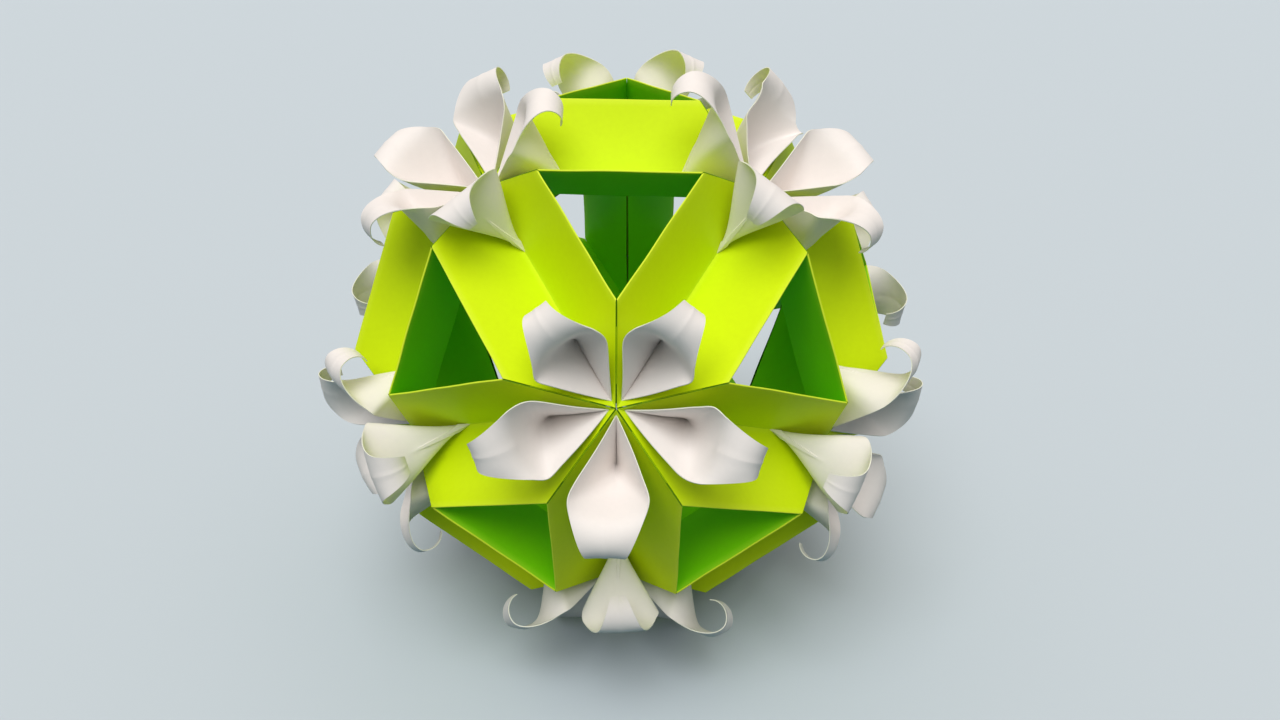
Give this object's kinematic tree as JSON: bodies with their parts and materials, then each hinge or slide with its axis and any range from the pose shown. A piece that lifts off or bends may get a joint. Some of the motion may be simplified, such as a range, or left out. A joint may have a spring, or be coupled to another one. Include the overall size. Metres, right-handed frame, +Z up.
{
  "type": "kusudama paper ball",
  "caption": "Modular folded paper ball with triangular windows between strips of doubled paper and curled petals that meet in five-petal flowers.",
  "frame": {"origin": "on the surface that the ball stands on, under its centre", "axes": "+Z up through the window on top, a threefold axis of the ball; -Y towards the flower that faces the viewer; +X to the viewer's right"},
  "size_m": [0.1418, 0.1442, 0.136],
  "materials": {
    "paper": "satin origami paper, yellow-green on one side and white on the other"
  },
  "bodies": {
    "root": {"folded_unit_01": "paper", "folded_unit_02": "paper", "folded_unit_03": "paper", "folded_unit_04": "paper", "folded_unit_05": "paper", "folded_unit_06": "paper", "folded_unit_07": "paper", "folded_unit_08": "paper", "folded_unit_09": "paper", "folded_unit_10": "paper", "folded_unit_11": "paper", "folded_unit_12": "paper", "folded_unit_13": "paper", "folded_unit_14": "paper", "folded_unit_15": "paper", "folded_unit_16": "paper", "folded_unit_17": "paper", "folded_unit_18": "paper", "folded_unit_19": "paper", "folded_unit_20": "paper", "folded_unit_21": "paper", "folded_unit_22": "paper", "folded_unit_23": "paper", "folded_unit_24": "paper", "folded_unit_25": "paper", "folded_unit_26": "paper", "folded_unit_27": "paper", "folded_unit_28": "paper", "folded_unit_29": "paper", "folded_unit_30": "paper"}
  },
  "joints": []
}
